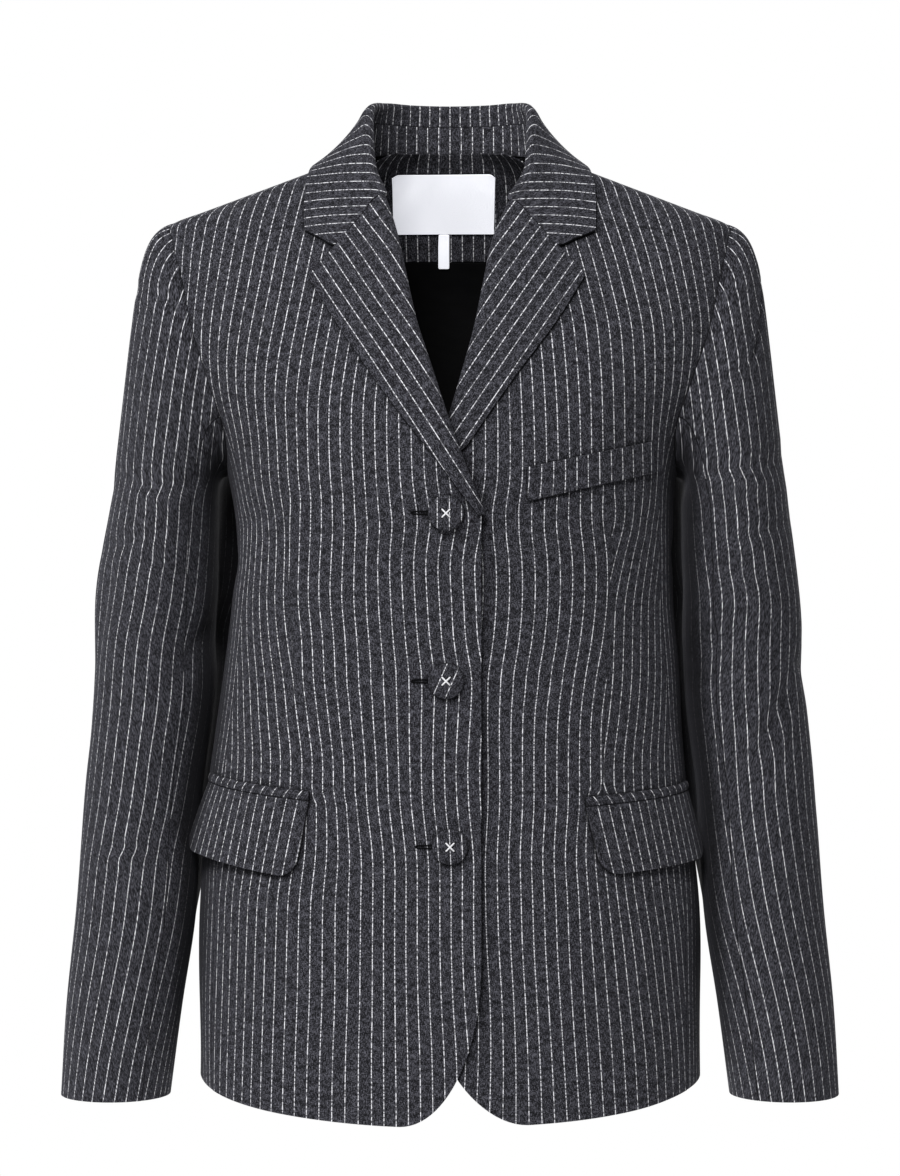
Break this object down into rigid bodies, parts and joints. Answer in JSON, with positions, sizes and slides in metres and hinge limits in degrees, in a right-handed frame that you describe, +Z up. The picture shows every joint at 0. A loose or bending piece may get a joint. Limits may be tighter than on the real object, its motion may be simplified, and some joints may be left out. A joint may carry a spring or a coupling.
{
  "type": "single breasted blazer",
  "caption": "Hollow single breasted wool blazer as if worn, with notched lapels, buttoned front, slanted breast welt, flap pockets and two-piece sleeves",
  "frame": {"origin": "between the shoulders, at the height of the points where the shoulder seams meet the collar", "axes": "+Z up; the front faces -Y; the wearer's left is at +X"},
  "size_m": [0.5532, 0.2696, 0.7247],
  "materials": {
    "flannel": "milled charcoal wool flannel with woven pale pinstripes, matt",
    "lining": "black twill lining, faintly lustrous",
    "label": "bare white woven satin tape"
  },
  "bodies": {
    "root": {"front_right": "flannel", "front_left": "flannel", "side_right": "flannel", "side_left": "flannel", "back_right": "flannel", "back_left": "flannel", "lapel_right": "flannel", "lapel_left": "flannel", "collar": "flannel", "collar_stand": "flannel", "back_neck_facing": "flannel", "back_lining": "lining", "neck_label": "label", "size_tab": "label", "top_sleeve_right": "flannel", "under_sleeve_right": "flannel", "top_sleeve_left": "flannel", "under_sleeve_left": "flannel", "breast_welt": "flannel", "pocket_jet_right": "flannel", "pocket_flap_right": "flannel", "pocket_jet_left": "flannel", "pocket_flap_left": "flannel", "button_1": "flannel", "button_2": "flannel", "button_3": "flannel"}
  },
  "joints": []
}
